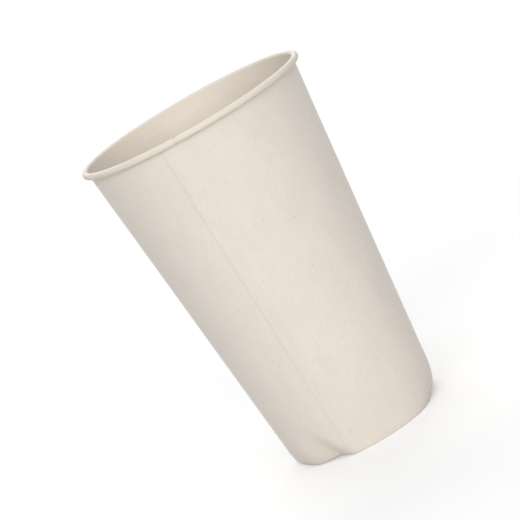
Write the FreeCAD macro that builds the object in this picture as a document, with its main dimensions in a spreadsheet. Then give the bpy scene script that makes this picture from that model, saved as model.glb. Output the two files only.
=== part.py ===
"""Two-piece paper drinking cup.

One fan-shaped sheet is wrapped into a cone and sealed along a lap seam. Its top
edge is curled outwards into a rolled rim. Its bottom edge is folded up inside the
cup's foot and grips the skirt of a separate, cupped base disc.

Frame: millimetres, +Z up, the cup's axis on Z, the foot standing on Z = 0.
"""
import FreeCAD, Part
import math
import os

import Sketcher
from FreeCAD import Vector

SHEET = "dimensions"
SIZES = [
    ("rim_diameter", 90.0, "outside of the rolled rim"),
    ("cup_height", 134.0, "ground to the top of the rolled rim"),
    ("foot_diameter", 60.0, "outside of the wall's cone, carried down to the ground"),
    ("wall_thickness", 0.4, "one ply of the wall's sheet"),
    ("base_thickness", 0.35, "the base disc's sheet"),
    ("bead_core", 0.9, "hollow of the rolled rim where the wall has two plies"),
    ("curl_gap", 0.15, "end of the curl to the face of the lap seam"),
    ("hem_height", 6.5, "ground to the top of the hem folded up inside the foot"),
    ("hem_clearance", 0.45, "top of the hem to where the base starts to bend inwards"),
    ("base_bend", 0.8, "inside radius where the disc turns down into its skirt"),
    ("seal_gap", 0.03, "coating between the base's skirt and the wall or hem"),
    ("lap_width", 7.0, "overlap of the side seam, measured round the rim"),
    ("ramp_width", 2.0, "run over which the outer ply comes down beside the inner ply"),
    ("lap_fade", 3.0, "height at which the lap has its full two plies"),
    ("seam_angle", 249.0, "direction of the lap's outer edge, in degrees from +X"),
]

# Sizes that follow from the driving ones, as expressions on the sheet's cells.
FOOT_RADIUS = f"{SHEET}.foot_diameter / 2"
PLY = f"{SHEET}.wall_thickness"
BEAD_RADIUS = f"{SHEET}.bead_core / 2 + 2 * {PLY}"
BEAD_CENTRE_X = f"{SHEET}.rim_diameter / 2 - ({BEAD_RADIUS})"
BEAD_CENTRE_Z = f"{SHEET}.cup_height - ({BEAD_RADIUS})"
HEM_OFFSET = f"{SHEET}.base_thickness + 2 * {SHEET}.seal_gap"
BASE_UNDERSIDE = f"{SHEET}.hem_height + {SHEET}.hem_clearance + {SHEET}.base_bend"
RIM_DEGREES_PER_MM = f"180 / (pi * {SHEET}.rim_diameter / 2)"
LAP_ANGLE = f"{SHEET}.lap_width * {RIM_DEGREES_PER_MM}"
RAMP_ANGLE = f"{SHEET}.ramp_width * {RIM_DEGREES_PER_MM}"
SINGLE_ANGLE = f"360 - ({LAP_ANGLE}) - ({RAMP_ANGLE})"

START, END, CENTRE = 1, 2, 3   # which point of a line or arc a constraint holds
WHOLE_TURN = 360.0
UP = Vector(0, 0, 1)           # the cup's axis, and every sketch's own normal

doc = FreeCAD.newDocument("paper_cup")


def make_sheet():
    """Writes the driving dimensions into the spreadsheet, one aliased cell each."""
    sheet = doc.addObject("Spreadsheet::Sheet", SHEET)
    for row, (alias, value, meaning) in enumerate(SIZES, start=1):
        sheet.set(f"A{row}", meaning)
        sheet.set(f"B{row}", str(value))
        sheet.setAlias(f"B{row}", alias)
    doc.recompute()
    return sheet


sheet = make_sheet()


def number(expression):
    """Value of an expression on the sheet's cells."""
    return float(sheet.evalExpression(expression))


class Section:
    """A sketch in a half-plane through the cup's axis, x outwards and y up.

    It starts with the wall line: the drink side of the wall as a straight line
    that touches the bead's circle and stands one ply inside the foot's radius.
    """

    def __init__(self, body, name, turn=None):
        self.sketch = body.newObject("Sketcher::SketchObject", name)
        plane = next(f for f in body.Origin.OriginFeatures if f.Role == "XZ_Plane")
        self.sketch.AttachmentSupport = [(plane, "")]
        self.sketch.MapMode = "FlatFace"
        if turn is not None:
            spin = FreeCAD.Rotation(Vector(0, 1, 0), number(turn))
            self.sketch.AttachmentOffset = FreeCAD.Placement(Vector(), spin)
            self.sketch.setExpression("AttachmentOffset.Rotation.Angle", turn)
        self.wall_line()

    def add(self, shape, construction=False):
        return self.sketch.addGeometry(shape, construction)

    def line(self, start, end, construction=False):
        return self.add(Part.LineSegment(start, end), construction)

    def arc(self, centre, radius, start, end):
        """Arc run counter-clockwise from angle start to angle end, in radians."""
        circle = Part.Circle(centre, UP, radius)
        return self.add(Part.ArcOfCircle(circle, start, end))

    def hold(self, kind, *references):
        """Adds a geometric constraint."""
        self.sketch.addConstraint(Sketcher.Constraint(kind, *references))

    def bind(self, kind, expression, *references):
        """Adds a dimension and binds it to the sheet."""
        value = number(expression)
        index = self.sketch.addConstraint(Sketcher.Constraint(kind, *references, value))
        self.sketch.setExpression(f"Constraints[{index}]", expression)

    def join(self, *ends):
        """Makes the end points in each pair coincide."""
        for first, second in ends:
            self.hold("Coincident", *first, *second)

    def wall_line(self):
        foot = Vector(number(FOOT_RADIUS), 0, 0)
        self.bead = Vector(number(BEAD_CENTRE_X), number(BEAD_CENTRE_Z), 0)
        self.bead_radius = number(BEAD_RADIUS)
        self.ply = number(PLY)
        reach = self.bead - foot
        self.lean = math.atan2(reach.x, reach.y)
        self.lean -= math.asin((self.bead_radius - self.ply) / reach.Length)
        self.up = Vector(math.sin(self.lean), math.cos(self.lean), 0)
        self.out = Vector(math.cos(self.lean), -math.sin(self.lean), 0)
        self.foot = self.on_wall(self.ply)
        touch = self.bead - self.out * self.bead_radius
        self.wall = self.line(self.foot, touch, construction=True)
        radius = self.line(self.bead, touch, construction=True)
        mark = self.add(Part.Point(foot), construction=True)
        self.bead_point = (radius, START)
        self.join(((radius, END), (self.wall, END)))
        self.hold("Perpendicular", radius, self.wall)
        self.bind("Distance", BEAD_RADIUS, radius)
        self.bind("DistanceX", BEAD_CENTRE_X, -1, START, radius, START)
        self.bind("DistanceY", BEAD_CENTRE_Z, -1, START, radius, START)
        self.bind("DistanceX", FOOT_RADIUS, -1, START, mark, START)
        self.hold("PointOnObject", mark, START, -1)
        self.bind("Distance", PLY, mark, START, self.wall)
        self.bind("DistanceY", PLY, -1, START, self.wall, START)

    def on_wall(self, height, offset=0.0):
        """Point at a height, offset outwards from the wall line."""
        base = self.bead - self.out * (self.bead_radius - offset)
        return base - self.up * ((base.y - height) / self.up.y)


def hold_offset(section, point, plies):
    """Holds a point a number of plies outside the wall line."""
    if plies:
        section.bind("Distance", f"{plies} * {PLY}", *point, section.wall)
    else:
        section.hold("PointOnObject", *point, section.wall)


def sheet_section(body, name, inner, outer, turn=None):
    """Closed outline of the wall's sheet: hem, foot fold, wall and rim curl.

    The sheet lies from `inner` to `outer` plies outside the wall line. Below
    lap_fade it runs back to a single ply, so the foot stays flat all round.
    """
    s = Section(body, name, turn)
    ply, lean, bead = s.ply, s.lean, s.bead
    fade, hem = number(f"{SHEET}.lap_fade"), number(f"{SHEET}.hem_height")
    slack = number(f"{SHEET}.curl_gap")
    tuck = math.asin((s.bead_radius - 2 * ply - slack) / s.bead_radius)
    curl_end = -math.pi / 2 - lean - tuck
    curl_start = math.pi - lean
    ray = Vector(math.cos(curl_end), math.sin(curl_end), 0)
    inner_radius = s.bead_radius - inner * ply
    outer_radius = s.bead_radius - outer * ply

    # Corners of the drink side and of the outer side, from the hem to the curl.
    heel = s.on_wall(ply, -number(HEM_OFFSET))
    hem_top = s.on_wall(hem, -number(HEM_OFFSET))
    hem_back = hem_top - s.out * ply
    toe_side = s.foot + s.out * ply
    knee_in, knee_out = s.on_wall(fade, inner * ply), s.on_wall(fade, outer * ply)

    hem_face = s.line(hem_top, heel)
    floor = s.line(heel, s.foot)
    rise_in = s.line(s.foot, knee_in)
    wall_in = s.line(knee_in, bead - s.out * inner_radius)
    curl_in = s.arc(bead, inner_radius, curl_end, curl_start)
    curl_edge = s.line(bead + ray * inner_radius, bead + ray * outer_radius)
    curl_out = s.arc(bead, outer_radius, curl_end, curl_start)
    wall_out = s.line(bead - s.out * outer_radius, knee_out)
    rise_out = s.line(knee_out, toe_side)
    toe = s.arc(s.foot, ply, -math.pi / 2, -lean)
    sole = s.line(s.foot - Vector(0, ply, 0), heel - Vector(0, ply, 0))
    heel_bend = s.arc(heel, ply, math.pi - lean, 3 * math.pi / 2)
    hem_inside = s.line(heel - s.out * ply, hem_back)
    hem_edge = s.line(hem_back, hem_top)
    toe_radius = s.line(s.foot, toe_side, construction=True)
    curl_ray = s.line(bead, bead + ray * s.bead_radius, construction=True)

    # Drink side: the hem, the floor of the fold and the wall up to the curl.
    s.join(
        ((hem_face, END), (floor, START)),
        ((floor, END), (s.wall, START)),
        ((rise_in, START), (s.wall, START)),
        ((rise_in, END), (wall_in, START)),
    )
    s.hold("Horizontal", floor)
    s.hold("Parallel", hem_face, s.wall)
    s.bind("Distance", HEM_OFFSET, floor, START, s.wall)
    s.bind("DistanceY", f"{SHEET}.lap_fade", -1, START, rise_in, END)
    hold_offset(s, (rise_in, END), inner)

    # The curl: both faces about the bead's centre, cut off along one ray.
    s.hold("Parallel", wall_in, s.wall)
    s.hold("Parallel", wall_out, s.wall)
    s.hold("Tangent", wall_in, END, curl_in, END)
    s.hold("Tangent", wall_out, START, curl_out, END)
    s.join(
        ((curl_in, CENTRE), s.bead_point),
        ((curl_out, CENTRE), s.bead_point),
        ((curl_ray, START), s.bead_point),
        ((curl_edge, START), (curl_in, START)),
        ((curl_edge, END), (curl_out, START)),
    )
    s.bind("Distance", BEAD_RADIUS, curl_ray)
    s.bind("Distance", f"2 * {PLY} + {SHEET}.curl_gap", curl_ray, END, s.wall)
    s.hold("PointOnObject", curl_in, START, curl_ray)
    s.hold("PointOnObject", curl_out, START, curl_ray)

    # Outer side: down the wall, round the foot's fold and up inside the hem.
    s.join(
        ((wall_out, END), (rise_out, START)),
        ((rise_out, END), (toe, END)),
        ((toe, CENTRE), (s.wall, START)),
        ((heel_bend, CENTRE), (floor, START)),
        ((toe_radius, START), (s.wall, START)),
        ((toe_radius, END), (toe, END)),
        ((hem_inside, END), (hem_edge, START)),
        ((hem_edge, END), (hem_face, START)),
    )
    s.bind("DistanceY", f"{SHEET}.lap_fade", -1, START, rise_out, START)
    hold_offset(s, (rise_out, START), outer)
    s.hold("Perpendicular", toe_radius, s.wall)
    s.bind("Radius", PLY, toe)
    s.hold("Horizontal", sole)
    s.hold("Tangent", toe, START, sole, START)
    s.hold("Tangent", sole, END, heel_bend, END)
    s.hold("Tangent", heel_bend, START, hem_inside, START)
    s.hold("Parallel", hem_inside, s.wall)
    s.hold("Perpendicular", hem_edge, s.wall)
    s.bind("DistanceY", f"{SHEET}.hem_height", -1, START, hem_face, START)
    return s.sketch


def revolve(body, name, sketch, angle=None):
    """Turns a section about the cup's axis, through a bound angle or all round."""
    turned = body.newObject("PartDesign::Revolution", name)
    turned.Profile = sketch
    turned.ReferenceAxis = (sketch, ["V_Axis"])
    turned.Angle = WHOLE_TURN if angle is None else number(angle)
    if angle is not None:
        turned.setExpression("Angle", angle)
    return turned


def make_wall():
    """The wrapped sheet: one ply nearly all round, two in the lap, and a ramp."""
    body = doc.addObject("PartDesign::Body", "cup_wall")
    body.Label = "cup_wall"
    past_ramp = f"{LAP_ANGLE} + {RAMP_ANGLE}"
    single = sheet_section(body, "single_ply", 0, 1, past_ramp)
    revolve(body, "wrap", single, SINGLE_ANGLE)
    doc.recompute()
    double = sheet_section(body, "lapped_plies", 0, 2)
    revolve(body, "lap", double, LAP_ANGLE)
    doc.recompute()
    raised = sheet_section(body, "raised_ply", 1, 2, LAP_ANGLE)
    lowered = sheet_section(body, "lowered_ply", 0, 1, past_ramp)
    ramp = body.newObject("PartDesign::AdditiveLoft", "ramp")
    ramp.Profile = raised
    ramp.Sections = [lowered]
    ramp.Ruled = True
    body.Placement.Rotation = FreeCAD.Rotation(UP, number(f"{SHEET}.seam_angle"))
    body.setExpression("Placement.Rotation.Angle", f"{SHEET}.seam_angle")
    return body


def make_base():
    """The base: a flat disc whose edge turns down into a skirt inside the wall."""
    body = doc.addObject("PartDesign::Body", "cup_base")
    body.Label = "cup_base"
    s = Section(body, "disc_and_skirt")
    gap, thickness = number(f"{SHEET}.seal_gap"), number(f"{SHEET}.base_thickness")
    under, bend = number(BASE_UNDERSIDE), number(f"{SHEET}.base_bend")
    top, outer_bend = under + thickness, bend + thickness
    turn_centre = s.on_wall(under - bend, -(gap + outer_bend))
    skirt_foot = s.on_wall(s.ply + gap, -gap)
    skirt_back = skirt_foot - s.out * thickness

    disc_top = s.line(Vector(0, top, 0), turn_centre + Vector(0, outer_bend, 0))
    bend_out = s.arc(turn_centre, outer_bend, -s.lean, math.pi / 2)
    skirt_out = s.line(turn_centre + s.out * outer_bend, skirt_foot)
    skirt_edge = s.line(skirt_foot, skirt_back)
    skirt_in = s.line(skirt_back, turn_centre + s.out * bend)
    bend_in = s.arc(turn_centre, bend, -s.lean, math.pi / 2)
    disc_under = s.line(turn_centre + Vector(0, bend, 0), Vector(0, under, 0))
    axis = s.line(Vector(0, under, 0), Vector(0, top, 0))

    s.hold("Tangent", disc_top, END, bend_out, END)
    s.hold("Tangent", bend_out, START, skirt_out, START)
    s.hold("Tangent", skirt_in, END, bend_in, START)
    s.hold("Tangent", bend_in, END, disc_under, START)
    s.join(
        ((skirt_out, END), (skirt_edge, START)),
        ((skirt_edge, END), (skirt_in, START)),
        ((disc_under, END), (axis, START)),
        ((axis, END), (disc_top, START)),
        ((bend_in, CENTRE), (bend_out, CENTRE)),
    )
    s.hold("Horizontal", disc_top)
    s.hold("Horizontal", disc_under)
    s.hold("PointOnObject", axis, START, -2)
    s.hold("PointOnObject", axis, END, -2)
    s.hold("Parallel", skirt_out, s.wall)
    s.hold("Parallel", skirt_in, s.wall)
    s.hold("Perpendicular", skirt_edge, s.wall)
    s.bind("DistanceY", BASE_UNDERSIDE, -1, START, axis, START)
    s.bind("Radius", f"{SHEET}.base_bend", bend_in)
    s.bind("Radius", f"{SHEET}.base_bend + {SHEET}.base_thickness", bend_out)
    s.bind("Distance", f"{SHEET}.seal_gap", skirt_out, END, s.wall)
    s.bind("DistanceY", f"{PLY} + {SHEET}.seal_gap", -1, START, skirt_out, END)
    revolve(body, "disc", s.sketch)
    return body


def check(pieces):
    """Stops the script if a feature failed or a piece isn't one valid solid."""
    for item in doc.Objects:
        if {"Invalid", "Error"} & set(item.State):
            raise RuntimeError(f"{item.Name} failed: {item.State}")
        if item.isDerivedFrom("Sketcher::SketchObject") and not item.FullyConstrained:
            raise RuntimeError(f"{item.Name} isn't fully constrained")
    for piece in pieces:
        shape = piece.Shape
        if shape.isNull() or not shape.isValid() or len(shape.Solids) != 1:
            raise RuntimeError(f"{piece.Label} isn't one valid solid")


pieces = [make_wall(), make_base()]
doc.recompute()
check(pieces)
os.makedirs("parts", exist_ok=True)
for piece in pieces:
    piece.Shape.exportStep(os.path.join("parts", f"{piece.Label}.step"))
    print(piece.Label, round(piece.Shape.Volume, 1), "cubic millimetres")
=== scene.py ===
"""Looks of a paper cup: the wrapped, curled and folded wall, and the base pressed into its foot."""
import math

import bmesh
import bpy
import numpy as np
from mathutils import Matrix, Vector


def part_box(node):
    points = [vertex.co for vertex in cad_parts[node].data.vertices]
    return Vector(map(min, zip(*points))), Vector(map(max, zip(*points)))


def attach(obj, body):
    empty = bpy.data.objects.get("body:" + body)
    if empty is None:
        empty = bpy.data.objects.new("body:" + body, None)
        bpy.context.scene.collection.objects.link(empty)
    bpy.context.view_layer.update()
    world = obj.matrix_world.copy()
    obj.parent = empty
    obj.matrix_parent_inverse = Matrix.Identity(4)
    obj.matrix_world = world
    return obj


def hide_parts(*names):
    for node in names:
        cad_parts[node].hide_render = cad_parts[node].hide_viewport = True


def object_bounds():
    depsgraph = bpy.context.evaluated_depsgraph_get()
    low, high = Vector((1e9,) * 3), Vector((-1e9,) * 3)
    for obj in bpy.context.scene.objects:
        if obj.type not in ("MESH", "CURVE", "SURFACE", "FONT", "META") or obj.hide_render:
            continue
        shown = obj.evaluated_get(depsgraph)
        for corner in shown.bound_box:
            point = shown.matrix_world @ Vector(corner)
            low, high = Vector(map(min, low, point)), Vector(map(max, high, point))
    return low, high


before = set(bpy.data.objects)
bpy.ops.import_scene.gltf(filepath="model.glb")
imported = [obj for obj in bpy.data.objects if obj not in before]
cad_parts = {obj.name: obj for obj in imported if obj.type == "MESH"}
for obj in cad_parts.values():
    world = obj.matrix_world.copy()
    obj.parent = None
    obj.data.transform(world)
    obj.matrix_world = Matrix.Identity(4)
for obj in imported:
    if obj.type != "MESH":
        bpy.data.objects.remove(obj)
cad_low, cad_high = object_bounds()
wall_low, wall_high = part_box("cup_wall")
base_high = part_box("cup_base")[1]

MM = 0.001
TURN = 2 * math.pi
QUARTER = math.pi / 2

# Sizes in metres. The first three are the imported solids', the others the paper's own.
RIM_RADIUS = (wall_high.x - wall_low.x) / 2
CUP_HEIGHT = wall_high.z
BASE_TOP = base_high.z
FOOT_RADIUS = 30.0 * MM
PLY = 0.4 * MM
BASE_PLY = 0.35 * MM
BEAD_RADIUS = 1.25 * MM           # the rolled rim, in section
CURL_GAP = 0.15 * MM              # between the curl's end and the wall
SEAL_GAP = 0.03 * MM              # the sealing coat on either side of the base's skirt
HEM_HEIGHT = 6.5 * MM
BASE_BEND = 0.8 * MM
LAP_FADE = 3.0 * MM               # height by which the lap is two plies
FOLD_SOFTNESS = 0.03 * MM
EDGE_ROUND = 0.06 * MM            # how far a cut edge bulges

# The side seam: its outer edge's direction, then widths measured round the rim.
SEAM = math.radians(249.0)
LAP_WIDTH = 7.0 * MM
RAMP_WIDTH = 2.0 * MM
CUT_WIDTH = 0.04 * MM
SEAM_PRESS = 0.65                 # what is left of a ply's step where the seam is pressed
EDGE_LIFT = 0.12                  # plies
CUT_MARK, CUT_SHOWS = 0.3 * MM, 0.7         # how far and how strongly the cut edge's colour shows

# How far the paper gives: out of round, fluttering, and flat beside the seam.
OVAL_SLACK, FLUTTER_SLACK, FLAT_SLACK = 0.35 * MM, 0.10 * MM, 0.12 * MM
FLAT_REACH = 9 * MM

# Where the foot's edge has been pushed in: the direction in degrees, then in millimetres
# how far each dent reaches to its left, to its right and upwards, how far its top leans
# to the right, and how far the edge goes in and up. It fades upwards as the last power.
DENTS = [
    {"at": 238.0, "left": 10.0, "right": 6.2, "top": 17.0,
     "lean": -6.5, "push": 2.8, "lift": 1.0, "fade": 1.75},
    {"at": 203.0, "left": 16.0, "right": 13.0, "top": 9.0,
     "lean": 0.0, "push": 1.8, "lift": 0.3, "fade": 2.0},
    {"at": 345.0, "left": 15.5, "right": 20.0, "top": 12.0,
     "lean": 0.0, "push": 2.6, "lift": 0.9, "fade": 2.3},
]

# How finely the two sheets are divided. The columns come closer at the seam's edges.
ROUND_STEPS = 480
CLOSE_REACH = 0.3 * MM
HEM_STEPS, FOLD_STEPS, CURL_STEPS = 11, 4, 26
LOW_WALL_STEPS, HIGH_WALL_STEPS = 24, 24
LOW_WALL_TOP = 18.0 * MM
DISC_STEPS, PAN_BEND_STEPS, SKIRT_STEPS = 26, 7, 12
EDGE_STEPS = np.array([0.25, 0.5, 0.75])
SHARP_ANGLE = math.radians(38)

# The knurling wheel's marks on the hem, the fold's darker bottom edge, and the base's shape.
KNURLS, KNURL_DEPTH = 80, 0.55    # round the foot, and plies deep
KNURL_BOTTOM, KNURL_TOP = 0.8 * MM, HEM_HEIGHT - 0.4 * MM
FOLD_FADE = 0.5 * MM
DISH_DEPTH, PUCKER_DEPTH, PUCKER_REACH = 0.35 * MM, 0.07 * MM, 2.2 * MM
MANY_PUCKERS, FEW_PUCKERS = 61, 37

# The paper's colours, and how its fibres lie: sizes in the pattern's millimetres.
IVORY, DEEP_IVORY = (0.81, 0.741, 0.667), (0.775, 0.705, 0.628)
STRAND, FLECK = (0.69, 0.605, 0.50), (0.45, 0.36, 0.25)
# The darker tint of the rolled rim, the knurl grooves and the fold's bottom edge: on the rim and in
# the grooves partly the pressed paper's own colour, partly painted shade.
ROLLED_AND_SHADED, BARE_EDGE = (0.755, 0.688, 0.598), (0.70, 0.632, 0.55)
UPRIGHT_GRAIN, FLAT_GRAIN = (1 / MM, 1 / MM, 0.5 / MM), (0.6 / MM, 1 / MM, 1 / MM)
CLOUD_SIZE, GRAIN_SIZE, LONG_STRAND, SHORT_STRAND = 8.0, 0.43, 1.9, 1.2
STRAND_WIDTH, STRAND_EDGE = 0.035, 14.0
KEEP_NONE, KEEP_ALL = 0.66, 0.36  # noise that a strand needs, at a share of 0 and of 1
FLECK_SPACING, FLECK_EDGE, PULL_SIZE, PULL = 3.0, 30.0, 1.4, 1.1
NEXT_PATCH, OTHER_PATCH = 31.7, 57.3        # how far from the first the other patterns lie
RELIEF = 0.03 * MM                # depth that the fibres' height stands for

# Roughness that the grain gives from its low to its high, and that each mark adds.
GRAIN_ROUGHNESS = 0.25
MARK_ROUGHNESS = {"drink_side": -0.12, "creased_and_shaded": 0.26, "cut_edge": 0.35}

# A Mix node's sockets for colours.
MIX_SHARE, MIX_FIRST, MIX_SECOND, MIX_COLOUR = 0, 6, 7, 2


# ------------------------------------------------------------------ the sheets' sections

def lean_and_bead():
    """Lean of the wall from upright, and the centre of the rolled rim's circle.

    The drink side of the wall is the line that lies one ply inside the foot's
    radius at the ground and just touches the rolled rim's circle.
    """
    bead = np.array([RIM_RADIUS - BEAD_RADIUS, CUP_HEIGHT - BEAD_RADIUS])
    reach = bead - np.array([FOOT_RADIUS, 0.0])
    lean = math.atan2(reach[0], reach[1])
    lean -= math.asin((BEAD_RADIUS - PLY) / np.linalg.norm(reach))
    return lean, bead


LEAN, BEAD = lean_and_bead()
UP = np.array([math.sin(LEAN), math.cos(LEAN)])
OUT = np.array([math.cos(LEAN), -math.sin(LEAN)])
DOWN_FOLD = np.array([0.0, FOLD_SOFTNESS])
FIRST_WALL_ROW = HEM_STEPS + 2 * FOLD_STEPS - 1


def on_wall(height, offset=0.0):
    """Point at a height, the given distance outside the wall's drink side."""
    start = BEAD - OUT * (BEAD_RADIUS - offset)
    return start - UP * (start[1] - height) / UP[1]


def run(start, end, count):
    """Straight run: evenly spaced points, and the normal to the right of the way."""
    points = np.linspace(start, end, count)
    along = (end - start) / np.linalg.norm(end - start)
    return points, np.tile([along[1], -along[0]], (count, 1))


def bend(centre, radius, first, last, count, side):
    """Arc: the centre plus the radius times the ray at each angle.

    The normal is that ray for side 1, and points back at the centre for side -1.
    """
    angle = np.linspace(first, last, count)
    ray = np.stack([np.cos(angle), np.sin(angle)], axis=1)
    return centre + radius * ray, side * ray


def chain(parts):
    """Joins runs and bends into one path, leaving out the second copy at each join."""
    points = [parts[0][0]] + [part[0][1:] for part in parts[1:]]
    normals = [parts[0][1]] + [part[1][1:] for part in parts[1:]]
    return np.concatenate(points), np.concatenate(normals)


def wall_path():
    """Drink side of the wall's sheet, from the top of the hem to the end of the curl.

    It runs down the hem, turns twice under the foot, climbs the wall and goes over
    the rim and down again on the rolled rim's circle.
    """
    hem_offset = -(BASE_PLY + 2 * SEAL_GAP)
    heel = on_wall(PLY + FOLD_SOFTNESS, hem_offset + FOLD_SOFTNESS)
    toe = on_wall(PLY + FOLD_SOFTNESS, -FOLD_SOFTNESS)
    tuck = math.asin((BEAD_RADIUS - 2 * PLY - CURL_GAP) / BEAD_RADIUS)
    curl = (math.pi - LEAN, -QUARTER - LEAN - tuck)
    return chain([
        run(on_wall(HEM_HEIGHT, hem_offset), heel - OUT * FOLD_SOFTNESS, HEM_STEPS),
        bend(heel, FOLD_SOFTNESS, math.pi - LEAN, math.pi + QUARTER, FOLD_STEPS, 1),
        run(heel - DOWN_FOLD, toe - DOWN_FOLD, 2),
        bend(toe, FOLD_SOFTNESS, -QUARTER, -LEAN, FOLD_STEPS, 1),
        run(toe + OUT * FOLD_SOFTNESS, on_wall(LOW_WALL_TOP), LOW_WALL_STEPS),
        run(on_wall(LOW_WALL_TOP), BEAD - OUT * BEAD_RADIUS, HIGH_WALL_STEPS),
        bend(BEAD, BEAD_RADIUS, *curl, CURL_STEPS, -1),
    ])


def base_path():
    """Drink side of the base's sheet: out along the disc, then down the skirt."""
    outer_bend = BASE_BEND + BASE_PLY
    centre = on_wall(BASE_TOP - outer_bend, -(SEAL_GAP + outer_bend))
    middle = np.array([0.0, BASE_TOP])
    skirt_foot = on_wall(PLY + SEAL_GAP + EDGE_ROUND, -SEAL_GAP)
    return chain([
        run(middle, centre + np.array([0.0, outer_bend]), DISC_STEPS),
        bend(centre, outer_bend, QUARTER, -LEAN, PAN_BEND_STEPS, -1),
        run(centre + OUT * outer_bend, skirt_foot, SKIRT_STEPS),
    ])


# ------------------------------------------------------------------ round the cup

def soft_step(value):
    """Smooth rise from 0 to 1 while the value goes from 0 to 1."""
    value = np.clip(value, 0.0, 1.0)
    return value * value * (3 - 2 * value)


def even_columns():
    """Directions of evenly spaced columns."""
    return np.arange(ROUND_STEPS) * TURN / ROUND_STEPS


def seam_columns():
    """Directions of the wall's columns: even, but closer at the seam's two edges.

    Each edge has five columns of its own, and an even one that comes too near to
    one of them is left out.
    """
    even = even_columns()
    cut = np.array([-CLOSE_REACH, -CUT_WIDTH, 0.0, CUT_WIDTH, CLOSE_REACH])
    close = np.concatenate([cut, LAP_WIDTH + cut])
    close = np.mod(SEAM + close / RIM_RADIUS, TURN)
    spacing = np.abs(even[:, None] - close[None, :]).min(axis=1) * RIM_RADIUS
    return np.sort(np.concatenate([even[spacing > CLOSE_REACH / 2], close]))


def arc_from(azimuth, start, radius):
    """Distance round a circle from one direction to others, negative on its left."""
    return (np.mod(azimuth - start + math.pi, TURN) - math.pi) * radius


def lap_faces(across):
    """Inner and outer face of the wall's sheet, in plies outside the drink side.

    In the lap they are 0 and 2. Past it the outer ply comes down beside the inner
    ply's edge, from 1 and 2 to 0 and 1, and everywhere else they are 0 and 1. The
    seam's outer edge stands up a little, dying away over a millimetre.
    """
    past_edge = soft_step(across / CUT_WIDTH + 0.5)
    past_lap = soft_step((across - LAP_WIDTH) / CUT_WIDTH + 0.5)
    step = SEAM_PRESS * (1 - soft_step((across - LAP_WIDTH) / RAMP_WIDTH))
    lift = EDGE_LIFT * np.exp(-np.abs(across) / MM)
    return past_lap * step, 1 + past_edge * (step + lift)


def dents(azimuth, height):
    """How far the dents push the foot inwards, and how far they lift its edge.

    A dent is a cone of paper, pushed in along a crease, with its point up the wall. Across it the push
    is (1 - t squared / 1.5) times the bell exp(-0.9 t squared), with t the share of
    the way to its side, so that its flanks stand out a little. Upwards it fades as a
    power of the share of height left to the point, and its width shrinks to a third.
    The lift follows the same valley, and fades as the fifth power.
    """
    push, lift = 0.0, 0.0
    for dent in DENTS:
        left = np.clip(1 - height / (dent["top"] * MM), 0.0, 1.0)
        across = arc_from(azimuth, math.radians(dent["at"]), FOOT_RADIUS)
        across = across - dent["lean"] * MM * (1 - left)
        reach = np.where(across < 0, dent["left"], dent["right"]) * MM
        share = across / (reach * (1 + 2 * left) / 3)
        valley = (1 - share ** 2 / 1.5) * np.exp(-0.9 * share ** 2)
        push = push + dent["push"] * MM * valley * left ** dent["fade"]
        lift = lift + dent["lift"] * MM * np.maximum(valley, 0.0) * left ** 5
    return push, lift


def give(radius, azimuth, height):
    """Moves points as the paper gives: out of round, flat by the seam, dented foot.

    Each slack only goes inwards. The oval is two waves round the cup, and grows
    towards the rim. The flutter is five waves that turn as they rise, and is widest
    half way up. The flat is a bell beside the seam. All shrink towards the axis with
    the radius. The dents fade out between 0.9 and 0.3 of the foot's radius.
    """
    rise = np.clip(height / CUP_HEIGHT, 0.0, 1.0)
    oval = (0.5 + 0.5 * np.cos(2 * azimuth + 0.9)) * rise
    flutter = (0.5 + 0.5 * np.sin(5 * azimuth + 1.4 + 2.2 * rise)) * np.sin(math.pi * rise)
    flat = np.exp(-(arc_from(azimuth, SEAM, RIM_RADIUS) / FLAT_REACH) ** 2) * rise
    slack = OVAL_SLACK * oval + FLUTTER_SLACK * flutter + FLAT_SLACK * flat
    slack *= radius / (FOOT_RADIUS + height * math.tan(LEAN))

    near_wall = soft_step((radius / FOOT_RADIUS - 0.3) / 0.6)
    push, lift = dents(azimuth, height)
    return radius - slack - near_wall * push, height + near_wall * lift


# ------------------------------------------------------------------ the two pieces

def offset_rows(path, plies, ply):
    """Points of a path moved along its normals by a number of plies in each column."""
    points, normals = path
    return points[:, None, :] + normals[:, None, :] * (plies * ply)[..., None]


def cut_rows(path, row, way, first, last, ply):
    """Rows over a sheet's cut edge: a low arch from one face to the other."""
    points, normals = path
    share = EDGE_STEPS[:, None]
    plies = first[row] * (1 - share) + last[row] * share
    along = np.array([-normals[row, 1], normals[row, 0]]) * way * EDGE_ROUND
    edge = points[row] + normals[row] * (plies * ply)[..., None]
    return edge + along * np.sin(math.pi * share)[..., None]


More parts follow.
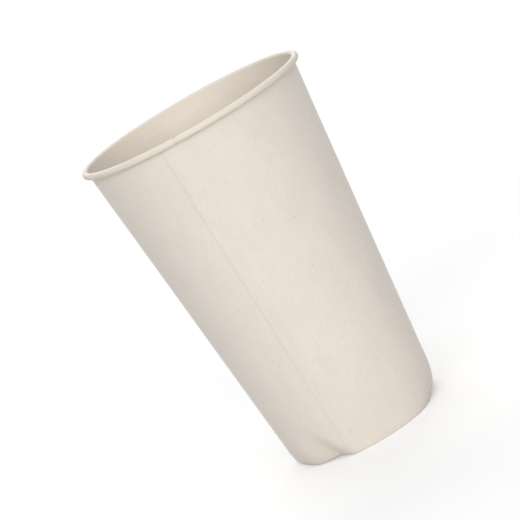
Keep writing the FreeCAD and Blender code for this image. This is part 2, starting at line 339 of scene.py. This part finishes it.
def skin(name, loop, azimuth, closed, marks):
    """Mesh of a section's loop of rows, carried round the axis.

    A point is the row's radius times the cosine and sine of its column's direction,
    and the row's height, after the paper's give. A closed loop joins its last row to
    its first. An open one starts and ends on the axis, where its points are merged.
    """
    radius, height = give(loop[..., 0], azimuth[None, :], loop[..., 1])
    place = np.stack([radius * np.cos(azimuth), radius * np.sin(azimuth), height], axis=-1)
    index = np.arange(radius.size).reshape(radius.shape)
    index = np.concatenate([index, index[:, :1]], axis=1)
    if closed:
        index = np.concatenate([index, index[:1]], axis=0)
    corners = [index[:-1, :-1], index[1:, :-1], index[1:, 1:], index[:-1, 1:]]
    mesh = bpy.data.meshes.new(name)
    mesh.from_pydata(place.reshape(-1, 3), [], np.stack(corners, axis=-1).reshape(-1, 4).tolist())
    for title, values in marks.items():
        layer = mesh.attributes.new(title, "FLOAT", "POINT")
        layer.data.foreach_set("value", values.astype(np.float32).ravel())
    if not closed:
        merge_doubles(mesh)
    mesh.polygons.foreach_set("use_smooth", np.ones(len(mesh.polygons), dtype=bool))
    mesh.set_sharp_from_angle(angle=SHARP_ANGLE)
    piece = bpy.data.objects.new(name, mesh)
    bpy.context.scene.collection.objects.link(piece)
    return piece


def merge_doubles(mesh):
    """Merges points at the same place, so that a pole is one point."""
    shape = bmesh.new()
    shape.from_mesh(mesh)
    bmesh.ops.remove_doubles(shape, verts=shape.verts, dist=0.001 * MM)
    shape.to_mesh(mesh)
    shape.free()


def side_wall():
    """The wrapped sheet: hem, folded foot, wall with its lap seam, and rolled rim.

    Its faces follow the lap, which fades out below LAP_FADE. The hem's free face has the
    knurling wheel's grooves, a cosine round the foot that fades out over a
    millimetre at the band's top and bottom. The marks are 1 at a cut edge and a bell
    beside it, 1 on the drink side, and 1 on the rolled rim, the fold and the grooves,
    which are tinted darker: on the rim and in the grooves this is partly painted shade.
    """
    path, azimuth = wall_path(), seam_columns()
    across = arc_from(azimuth, SEAM, RIM_RADIUS)
    lap_inner, lap_outer = lap_faces(across)
    height, row = path[0][:, 1], np.arange(len(path[0]))
    lapped = (soft_step(height / LAP_FADE) * (row >= FIRST_WALL_ROW))[:, None]
    band = soft_step((height - KNURL_BOTTOM) / MM) * soft_step((KNURL_TOP - height) / MM)
    knurled = (band * (row < HEM_STEPS))[:, None]
    groove = knurled * (0.5 + 0.5 * np.cos(KNURLS * azimuth))
    inner = lapped * lap_inner
    outer = 1 + lapped * (lap_outer - 1) - KNURL_DEPTH * groove
    loop = np.concatenate([
        offset_rows(path, inner, PLY),
        cut_rows(path, -1, 1, inner, outer, PLY),
        offset_rows(path, outer, PLY)[::-1],
        cut_rows(path, 0, -1, outer, inner, PLY),
    ])
    rolled = 1.0 * (row >= len(row) - CURL_STEPS)
    folded = np.exp(-np.maximum(height - PLY, 0.0) / FOLD_FADE)
    creased_and_shaded = np.broadcast_to(np.maximum(rolled, folded)[:, None], inner.shape)
    drink_cut = CUT_SHOWS * lapped * np.exp(-((across - LAP_WIDTH) / CUT_MARK) ** 2)
    outer_cut = CUT_SHOWS * lapped * np.exp(-(across / CUT_MARK) ** 2)
    edge = np.ones((len(EDGE_STEPS), len(azimuth)))
    marks = {
        "cut_edge": np.concatenate([drink_cut, edge, outer_cut[::-1], edge]),
        "drink_side": np.concatenate([np.ones_like(inner), edge, np.zeros_like(inner), edge]),
        "creased_and_shaded": np.concatenate([creased_and_shaded, edge, np.maximum(creased_and_shaded, groove)[::-1], edge]),
    }
    return skin("side_wall", loop, azimuth, True, marks)


def pressed_base():
    """The base: a shallow upside-down pan, a little dished, with puckers at its bend.

    The dish is a parabola over the disc. The puckers are two waves round it, of many
    and of few, that die away from the bend inwards as a bell.
    """
    path, azimuth = base_path(), even_columns()
    radius, row = path[0][:, 0], np.arange(len(path[0]))
    on_disc = row < DISC_STEPS
    edge_radius = radius[DISC_STEPS - 1]
    dish = DISH_DEPTH * (1 - (radius / edge_radius) ** 2) * on_disc
    ring = np.exp(-((radius - edge_radius) / PUCKER_REACH) ** 2) * on_disc
    waves = np.sin(MANY_PUCKERS * azimuth) + np.sin(FEW_PUCKERS * azimuth + 1.0)
    ripple = 0.5 + 0.25 * waves
    sunk = (dish[:, None] + PUCKER_DEPTH * ring[:, None] * ripple[None, :]) / BASE_PLY
    loop = np.concatenate([
        offset_rows(path, sunk, BASE_PLY),
        cut_rows(path, -1, 1, sunk, sunk + 1, BASE_PLY),
        offset_rows(path, sunk + 1, BASE_PLY)[::-1],
    ])
    bare = np.zeros_like(sunk)
    edge = np.ones((len(EDGE_STEPS), len(azimuth)))
    marks = {
        "cut_edge": np.concatenate([bare, edge, bare]),
        "drink_side": np.concatenate([np.ones_like(sunk), edge, bare]),
        "creased_and_shaded": np.concatenate([bare, edge, bare]),
    }
    return skin("pressed_base", loop, azimuth, False, marks)


# ------------------------------------------------------------------ paper

def add_node(tree, kind, inputs, **settings):
    """A node with its settings, each input wired to a socket or set to a value."""
    made = tree.nodes.new(kind)
    for name, value in settings.items():
        setattr(made, name, value)
    for name, value in inputs.items():
        if isinstance(value, bpy.types.NodeSocket):
            tree.links.new(value, made.inputs[name])
        else:
            made.inputs[name].default_value = value
    return made


def maths(tree, operation, *values, clamp=False):
    """Output of a maths node, each of its inputs wired to a socket or set to a value."""
    inputs = dict(enumerate(values))
    made = add_node(tree, "ShaderNodeMath", inputs, operation=operation, use_clamp=clamp)
    return made.outputs[0]


def moved(tree, vector, distance):
    """The pattern vector moved along, for a pattern that doesn't follow another."""
    offset = (distance, distance, distance)
    return add_node(tree, "ShaderNodeVectorMath", {0: vector, 1: offset}).outputs[0]


def noise(tree, vector, size, output="Fac", **inputs):
    """Noise with patches about as wide as the size, in the vector's units."""
    sockets = {"Vector": vector, "Scale": 1 / size, **inputs}
    return add_node(tree, "ShaderNodeTexNoise", sockets).outputs[output]


def strands(tree, vector, size, share):
    """Short curved fibres: the level line of one noise, where a second one keeps it.

    A strand is strongest where the first noise is a half, and gone by STRAND_WIDTH
    away from that. The share, from 0 to 1, is how readily the second keeps it.
    """
    level = noise(tree, vector, size, Detail=1.0)
    away = maths(tree, "ABSOLUTE", maths(tree, "SUBTRACT", level, 0.5))
    line = maths(tree, "SUBTRACT", 1.0, maths(tree, "DIVIDE", away, STRAND_WIDTH), clamp=True)
    place = noise(tree, moved(tree, vector, NEXT_PATCH), 0.8 * size, Detail=0.0)
    needed = maths(tree, "MULTIPLY_ADD", share, KEEP_ALL - KEEP_NONE, KEEP_NONE)
    kept = maths(tree, "MULTIPLY", maths(tree, "SUBTRACT", place, needed), STRAND_EDGE, clamp=True)
    return maths(tree, "MULTIPLY", line, kept)


def flecks(tree, vector, size):
    """Specks as wide as the size at scattered points, pulled out of round by a noise."""
    pull = noise(tree, vector, PULL_SIZE, output="Color", Detail=1.0)
    pulled = {0: pull, 1: (PULL, PULL, PULL), 2: vector}
    bent = add_node(tree, "ShaderNodeVectorMath", pulled, operation="MULTIPLY_ADD").outputs[0]
    points = add_node(tree, "ShaderNodeTexVoronoi", {"Vector": bent, "Scale": 1 / FLECK_SPACING})
    depth = maths(tree, "SUBTRACT", size, points.outputs["Distance"])
    return maths(tree, "MULTIPLY", depth, FLECK_EDGE, clamp=True)


def fibre_group():
    """Effect group: how the fibres of a sheet lie, from a pattern vector in millimetres.

    Cloud is the sheet's uneven thickness seen as soft patches, Grain the fine tooth,
    Strand the short curved fibres that show, Fleck the few dark bits of cane, and
    Height the clouds, grain and strands together for a bump.
    """
    tree = bpy.data.node_groups.new("paper_fibres", "ShaderNodeTree")
    tree.interface.new_socket("Vector", in_out="INPUT", socket_type="NodeSocketVector")
    for name in ("Strand Share", "Fleck Size"):
        tree.interface.new_socket(name, in_out="INPUT", socket_type="NodeSocketFloat")
    for name in ("Cloud", "Grain", "Strand", "Fleck", "Height"):
        tree.interface.new_socket(name, in_out="OUTPUT", socket_type="NodeSocketFloat")
    start, end = tree.nodes.new("NodeGroupInput"), tree.nodes.new("NodeGroupOutput")
    vector, share, fleck_size = start.outputs[:3]
    cloud = noise(tree, vector, CLOUD_SIZE, Detail=4.0, Roughness=0.55)
    grain = noise(tree, vector, GRAIN_SIZE, Detail=3.0, Roughness=0.6, Distortion=0.4)
    long = strands(tree, vector, LONG_STRAND, share)
    short = strands(tree, moved(tree, vector, OTHER_PATCH), SHORT_STRAND, share)
    strand = maths(tree, "MAXIMUM", long, short)
    sheet_relief = maths(tree, "MULTIPLY_ADD", cloud, 0.6, grain)
    made = {
        "Cloud": cloud,
        "Grain": grain,
        "Strand": strand,
        "Fleck": flecks(tree, vector, fleck_size),
        "Height": maths(tree, "MULTIPLY_ADD", strand, 0.5, sheet_relief),
    }
    for name, output in made.items():
        tree.links.new(output, end.inputs[name])
    return tree


def tinted(tree, share, colour, tint, low=0.0, high=1.0, most=1.0):
    """A colour with some of a tint: none at the low share, the most at the high one."""
    inputs = {"Value": share, "From Min": low, "From Max": high, "To Max": most}
    amount = add_node(tree, "ShaderNodeMapRange", inputs).outputs["Result"]
    sockets = {MIX_SHARE: amount, MIX_FIRST: colour, MIX_SECOND: (*tint, 1)}
    return add_node(tree, "ShaderNodeMix", sockets, data_type="RGBA").outputs[MIX_COLOUR]


def mark(tree, name):
    """One of the marks that a piece's points carry, such as its cut edges."""
    return add_node(tree, "ShaderNodeAttribute", {}, attribute_name=name).outputs["Fac"]


def paper(name, grain, roughness, strand_share, fleck_size):
    """Sugarcane-fibre paper: clouded ivory with fibres and flecks, bare cut edges, and a darker rolled
    rim, fold and grooves, on the rim and in the grooves partly painted shade.

    The grain stretches the pattern along the sheet's own direction, and the
    roughness is the outer side's. The drink side has a smoother coating.
    """
    material = bpy.data.materials.new(name)
    material.use_nodes = True
    tree = material.node_tree
    shader = tree.nodes["Principled BSDF"]
    place = add_node(tree, "ShaderNodeTexCoord", {}).outputs["Object"]
    vector = add_node(tree, "ShaderNodeMapping", {"Vector": place, "Scale": grain}).outputs["Vector"]
    sockets = {"Vector": vector, "Strand Share": strand_share, "Fleck Size": fleck_size}
    fibres = add_node(tree, "ShaderNodeGroup", sockets, node_tree=FIBRES)

    colour = tinted(tree, fibres.outputs["Cloud"], (*IVORY, 1), DEEP_IVORY, low=0.3, high=0.7)
    colour = tinted(tree, fibres.outputs["Grain"], colour, DEEP_IVORY, low=0.35, high=0.75, most=0.4)
    colour = tinted(tree, fibres.outputs["Strand"], colour, STRAND, most=0.32)
    colour = tinted(tree, fibres.outputs["Fleck"], colour, FLECK, most=0.4)
    # Partly painted shade: the rolled rim and the knurl grooves are tinted darker, and so is the
    # foot's folded bottom edge.
    colour = tinted(tree, mark(tree, "creased_and_shaded"), colour, ROLLED_AND_SHADED, most=0.9)
    colour = tinted(tree, mark(tree, "cut_edge"), colour, BARE_EDGE)
    tree.links.new(colour, shader.inputs["Base Color"])

    smoothest = roughness - GRAIN_ROUGHNESS / 2
    rough = maths(tree, "MULTIPLY_ADD", fibres.outputs["Grain"], GRAIN_ROUGHNESS, smoothest)
    for name, added in MARK_ROUGHNESS.items():
        rough = maths(tree, "MULTIPLY_ADD", mark(tree, name), added, rough)
    tree.links.new(rough, shader.inputs["Roughness"])

    relief = {"Height": fibres.outputs["Height"], "Strength": 0.4, "Distance": RELIEF}
    tree.links.new(add_node(tree, "ShaderNodeBump", relief).outputs["Normal"], shader.inputs["Normal"])
    shader.inputs["IOR"].default_value = 1.45
    return material


# ------------------------------------------------------------------ the cup

def finish_piece(piece, node, material):
    """Gives a piece its paper, and puts it in place of its solid."""
    piece.data.materials.append(material)
    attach(piece, "root")
    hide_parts(node)


FIBRES = fibre_group()
wall_paper = paper("wall_paper", UPRIGHT_GRAIN, roughness=0.43, strand_share=0.55, fleck_size=0.085)
base_paper = paper("base_paper", FLAT_GRAIN, roughness=0.47, strand_share=0.45, fleck_size=0.075)
finish_piece(side_wall(), "cup_wall", wall_paper)
finish_piece(pressed_base(), "cup_base", base_paper)


# ------------------------------------------------------------------ floor, light, camera

FLOOR_REACH = 30.0                # metres
FLOOR_GREY, FLOOR_GLOW, AIR_LIGHT = 0.64, 0.41, 0.34
WHITE = (1, 1, 1, 1)

# Each lamp's direction round the cup and upwards and its width in the sky, in degrees,
# and its strength.
LAMPS = [
    ("key", -10, 22, 50, 1.43),
    ("sheen", 19, 8, 14, 0.5),
    ("back", 180, 38, 50, 1.2),
    ("overhead", 0, 86, 34, 0.6),
]

VIEW_ELEVATION, VIEW_DISTANCE, VIEW_ROLL = 10.7, 0.94, math.radians(30)
LENS, SENSOR = 178.0, 36.0        # millimetres
AIM_RIGHT, AIM_UP = -7 * MM, 3.5 * MM       # from the cup's middle, as the camera sees it


def seen_directly(tree):
    """1 for what the camera sees straight, in a mirror or through glass, else 0."""
    path = tree.nodes.new("ShaderNodeLightPath").outputs
    seen = maths(tree, "MAXIMUM", path["Is Camera Ray"], path["Is Glossy Ray"])
    return maths(tree, "MAXIMUM", seen, path["Is Transmission Ray"])


def pale_floor():
    """A wide white floor that keeps the cup's shadow and shows white where there is none."""
    corners = np.array([(-1, -1, 0), (1, -1, 0), (1, 1, 0), (-1, 1, 0)]) * FLOOR_REACH
    mesh = bpy.data.meshes.new("floor")
    mesh.from_pydata(corners, [], [(0, 1, 2, 3)])
    floor = bpy.data.objects.new("floor", mesh)
    bpy.context.scene.collection.objects.link(floor)
    material = bpy.data.materials.new("floor_white")
    material.use_nodes = True
    tree = material.node_tree
    tree.nodes.remove(tree.nodes["Principled BSDF"])
    grey = (FLOOR_GREY, FLOOR_GREY, FLOOR_GREY, 1)
    matt = add_node(tree, "ShaderNodeBsdfDiffuse", {"Color": grey})
    strength = maths(tree, "MULTIPLY", seen_directly(tree), FLOOR_GLOW)
    glow = add_node(tree, "ShaderNodeEmission", {"Strength": strength})
    both = add_node(tree, "ShaderNodeAddShader", {0: matt.outputs[0], 1: glow.outputs[0]})
    tree.links.new(both.outputs[0], tree.nodes["Material Output"].inputs["Surface"])
    mesh.materials.append(material)


def studio_air():
    """Soft light from all round, and white behind everything."""
    world = bpy.data.worlds.new("studio")
    bpy.context.scene.world = world
    world.use_nodes = True
    tree = world.node_tree
    soft = tree.nodes["Background"]
    soft.inputs["Color"].default_value = WHITE
    soft.inputs["Strength"].default_value = AIR_LIGHT
    white = add_node(tree, "ShaderNodeBackground", {"Color": WHITE, "Strength": 1.0})
    shaders = {0: seen_directly(tree), 1: soft.outputs[0], 2: white.outputs[0]}
    mixed = add_node(tree, "ShaderNodeMixShader", shaders)
    tree.links.new(mixed.outputs[0], tree.nodes["World Output"].inputs["Surface"])


def direction(azimuth, elevation):
    """Unit vector from the cup towards a place; azimuth 0 is the front, 90 the right."""
    turn, rise = math.radians(azimuth), math.radians(elevation)
    level = math.cos(rise)
    return Vector((math.sin(turn) * level, -math.cos(turn) * level, math.sin(rise)))


def wide_lamp(name, azimuth, elevation, spread, strength):
    """A lamp far off in a direction, as wide in the sky as its spread, in degrees."""
    light = bpy.data.lights.new(name, "SUN")
    light.angle, light.energy = math.radians(spread), strength
    lamp = bpy.data.objects.new(name, light)
    lamp.rotation_euler = direction(azimuth, elevation).to_track_quat("Z", "Y").to_euler()
    bpy.context.scene.collection.objects.link(lamp)


def tilted_camera():
    """A long lens a little above the cup's middle, rolled so that the cup leans left."""
    data = bpy.data.cameras.new("camera")
    data.lens, data.sensor_width = LENS, SENSOR
    camera = bpy.data.objects.new("camera", data)
    back = direction(0, VIEW_ELEVATION)
    turn = back.to_track_quat("Z", "Y").to_matrix() @ Matrix.Rotation(-VIEW_ROLL, 3, "Z")
    aim = (cad_low + cad_high) / 2 + turn @ Vector((AIM_RIGHT, AIM_UP, 0))
    camera.rotation_euler = turn.to_euler()
    camera.location = aim + back * VIEW_DISTANCE
    bpy.context.scene.collection.objects.link(camera)
    bpy.context.scene.camera = camera


pale_floor()
studio_air()
for lamp in LAMPS:
    wide_lamp(*lamp)
tilted_camera()
bpy.context.scene.view_settings.view_transform = "Standard"
